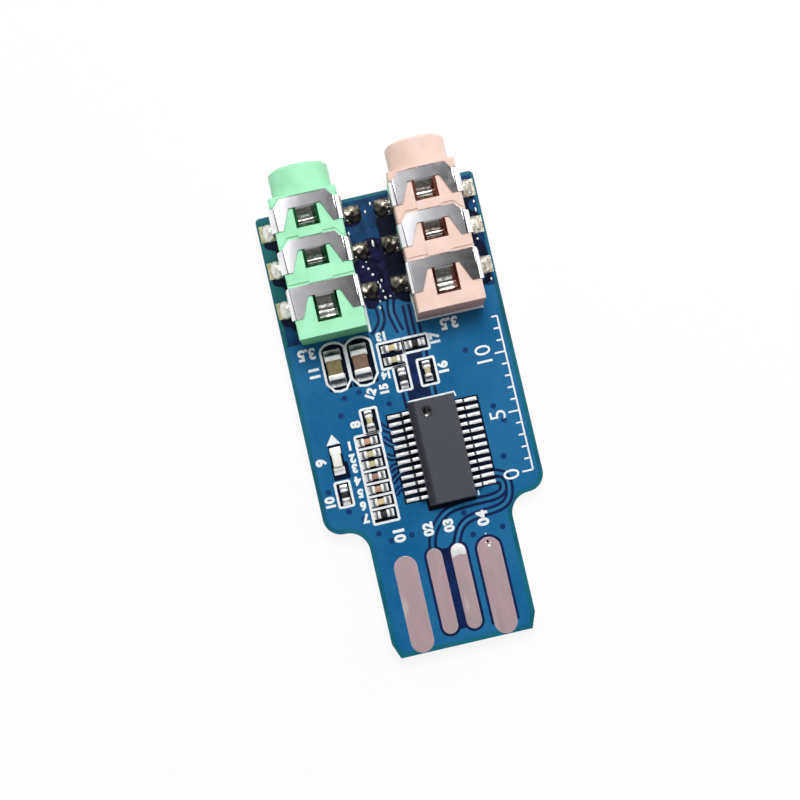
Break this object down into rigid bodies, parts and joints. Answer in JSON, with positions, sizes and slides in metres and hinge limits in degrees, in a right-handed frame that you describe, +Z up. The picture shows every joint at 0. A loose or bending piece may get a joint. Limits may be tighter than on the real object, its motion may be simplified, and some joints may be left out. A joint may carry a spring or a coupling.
{
  "type": "usb audio module",
  "caption": "Bare-board sound adapter with a flat plug tongue of contact pads, an audio chip, small parts and green and pink audio sockets with folded metal clips.",
  "frame": {"origin": "on the board's underside, below the middle of the whole in length and width", "axes": "+X across the board with the pink socket at +X, +Y along the board towards the sockets, +Z up"},
  "size_m": [0.0186, 0.0406, 0.007],
  "materials": {
    "board": "glossy blue solder mask over glass laminate",
    "contact_plate": "satin tin plate",
    "green_plastic": "moulded, satin",
    "pink_plastic": "moulded, satin",
    "nickel_clip": "bright nickel plate",
    "pad_gold": "pale gold pad",
    "solder": "bright solder",
    "chip_plastic": "matt moulding compound",
    "tin_plate": "satin tin plate",
    "khaki_ceramic": "smooth ceramic",
    "brown_ceramic": "smooth ceramic",
    "orange_ceramic": "smooth ceramic",
    "tan_ceramic": "smooth ceramic",
    "black_ceramic": "dark glaze",
    "light_base": "white base",
    "light_lens": "milky clear lens"
  },
  "bodies": {
    "root": {"audio_chip_leads": "tin_plate", "audio_chip_package": "chip_plastic", "audio_chip_pads": "tin_plate", "bias_capacitor_lower_body": "khaki_ceramic", "bias_capacitor_lower_ends": "tin_plate", "bias_capacitor_upper_body": "tan_ceramic", "bias_capacitor_upper_ends": "tin_plate", "bias_resistor_body": "black_ceramic", "bias_resistor_ends": "tin_plate", "circuit_board": "board", "input_capacitor_body": "khaki_ceramic", "input_capacitor_ends": "tin_plate", "input_resistor_body": "black_ceramic", "input_resistor_ends": "tin_plate", "light_resistor_body": "black_ceramic", "light_resistor_ends": "tin_plate", "microphone_jack_housing": "pink_plastic", "microphone_jack_pads": "pad_gold", "microphone_jack_ring_clip": "nickel_clip", "microphone_jack_sleeve_clip": "nickel_clip", "microphone_jack_solder": "solder", "microphone_jack_tip_clip": "nickel_clip", "output_capacitor_left_body": "khaki_ceramic", "output_capacitor_left_ends": "tin_plate", "output_capacitor_right_body": "brown_ceramic", "output_capacitor_right_ends": "tin_plate", "output_jack_housing": "green_plastic", "output_jack_pads": "pad_gold", "output_jack_ring_clip": "nickel_clip", "output_jack_sleeve_clip": "nickel_clip", "output_jack_solder": "solder", "output_jack_tip_clip": "nickel_clip", "reference_capacitor_body": "khaki_ceramic", "reference_capacitor_ends": "tin_plate", "small_part_pads": "tin_plate", "status_light_body": "light_base", "status_light_ends": "tin_plate", "status_light_lens": "light_lens", "supply_bead_body": "black_ceramic", "supply_bead_ends": "tin_plate", "supply_capacitor_1_body": "orange_ceramic", "supply_capacitor_1_ends": "tin_plate", "supply_capacitor_2_body": "khaki_ceramic", "supply_capacitor_2_ends": "tin_plate", "supply_capacitor_3_body": "khaki_ceramic", "supply_capacitor_3_ends": "tin_plate", "supply_capacitor_4_body": "brown_ceramic", "supply_capacitor_4_ends": "tin_plate", "supply_capacitor_5_body": "orange_ceramic", "supply_capacitor_5_ends": "tin_plate", "supply_capacitor_6_body": "tan_ceramic", "supply_capacitor_6_ends": "tin_plate", "usb_contact_data_minus": "contact_plate", "usb_contact_data_plus": "contact_plate", "usb_contact_ground": "contact_plate", "usb_contact_power": "contact_plate"}
  },
  "joints": []
}
